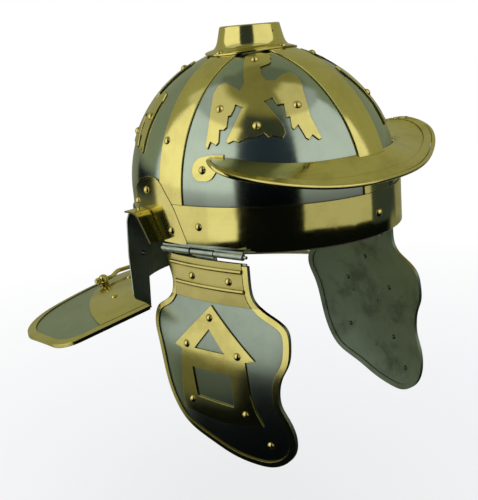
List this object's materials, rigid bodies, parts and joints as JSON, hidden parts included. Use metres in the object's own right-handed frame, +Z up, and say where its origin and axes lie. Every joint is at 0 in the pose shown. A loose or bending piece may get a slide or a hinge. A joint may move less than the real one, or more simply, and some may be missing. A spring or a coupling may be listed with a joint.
{
  "type": "legionary helmet",
  "caption": "Oval dark steel helmet with brass straps, brow peak, ear guards, hinged cheek guards, crest holder and a flared neck guard with a swinging carrying handle.",
  "frame": {"origin": "centre of the oval bowl at the level of the brow band's top edge", "axes": "+Z up along the crest holder, the face opening towards -Y, the wearer's right towards -X"},
  "size_m": [0.3134, 0.3191, 0.3228],
  "materials": {
    "polished_brass": "polished",
    "rivet_brass": "polished",
    "dark_steel": "polished, darkened",
    "hinge_steel": "satin",
    "brow_leather": "matt"
  },
  "bodies": {
    "helmet": {"bowl": "dark_steel", "neck_wall": "dark_steel", "neck_shelf": "dark_steel", "front_strap": "polished_brass", "rear_strap": "polished_brass", "right_strap": "polished_brass", "left_strap": "polished_brass", "brow_band": "polished_brass", "crest_holder": "polished_brass", "eagle_front_right": "polished_brass", "eagle_front_left": "polished_brass", "eagle_rear_right": "polished_brass", "eagle_rear_left": "polished_brass", "brow_peak": "polished_brass", "peak_bead": "polished_brass", "ear_guard_right": "polished_brass", "ear_guard_left": "polished_brass", "neck_edging": "polished_brass", "neck_plate": "polished_brass", "handle_post_right": "polished_brass", "handle_post_left": "polished_brass", "band_rivets": "rivet_brass", "strap_rivets": "rivet_brass", "crest_rivets": "rivet_brass", "eagle_rivets": "rivet_brass", "peak_rivets": "rivet_brass", "ear_rivets": "rivet_brass", "neck_rivets": "rivet_brass", "wing_rivets": "hinge_steel", "hinge_pin_right": "hinge_steel", "hinge_pin_left": "hinge_steel", "hinge_leaf_right": "hinge_steel", "hinge_leaf_left": "hinge_steel", "brow_liner": "brow_leather"},
    "carry_handle": {"carry_handle": "polished_brass"},
    "cheek_guard_right": {"cheek_plate_right": "dark_steel", "cheek_edging_right": "polished_brass", "cheek_top_right": "polished_brass", "temple_front_right": "polished_brass", "cheek_hinge_leaf_right": "hinge_steel", "cheek_rivets_right": "rivet_brass"},
    "cheek_guard_left": {"cheek_plate_left": "dark_steel", "cheek_edging_left": "polished_brass", "cheek_top_left": "polished_brass", "temple_front_left": "polished_brass", "cheek_hinge_leaf_left": "hinge_steel", "cheek_rivets_left": "rivet_brass"}
  },
  "joints": [
    {"name": "cheek_hinge_right", "type": "hinge", "parent": "helmet", "child": "cheek_guard_right", "pos_m": [-0.099, 0.0106, -0.035], "axis": [-0.1529, 0.9882, 0], "range_deg": [-12, 95]},
    {"name": "cheek_hinge_left", "type": "hinge", "parent": "helmet", "child": "cheek_guard_left", "pos_m": [0.099, 0.0106, -0.035], "axis": [-0.1529, -0.9882, 0], "range_deg": [-12, 95]},
    {"name": "handle_swing", "type": "hinge", "parent": "helmet", "child": "carry_handle", "pos_m": [0, 0.16, -0.096], "axis": [1, 0, 0], "range_deg": [0, 125]}
  ]
}
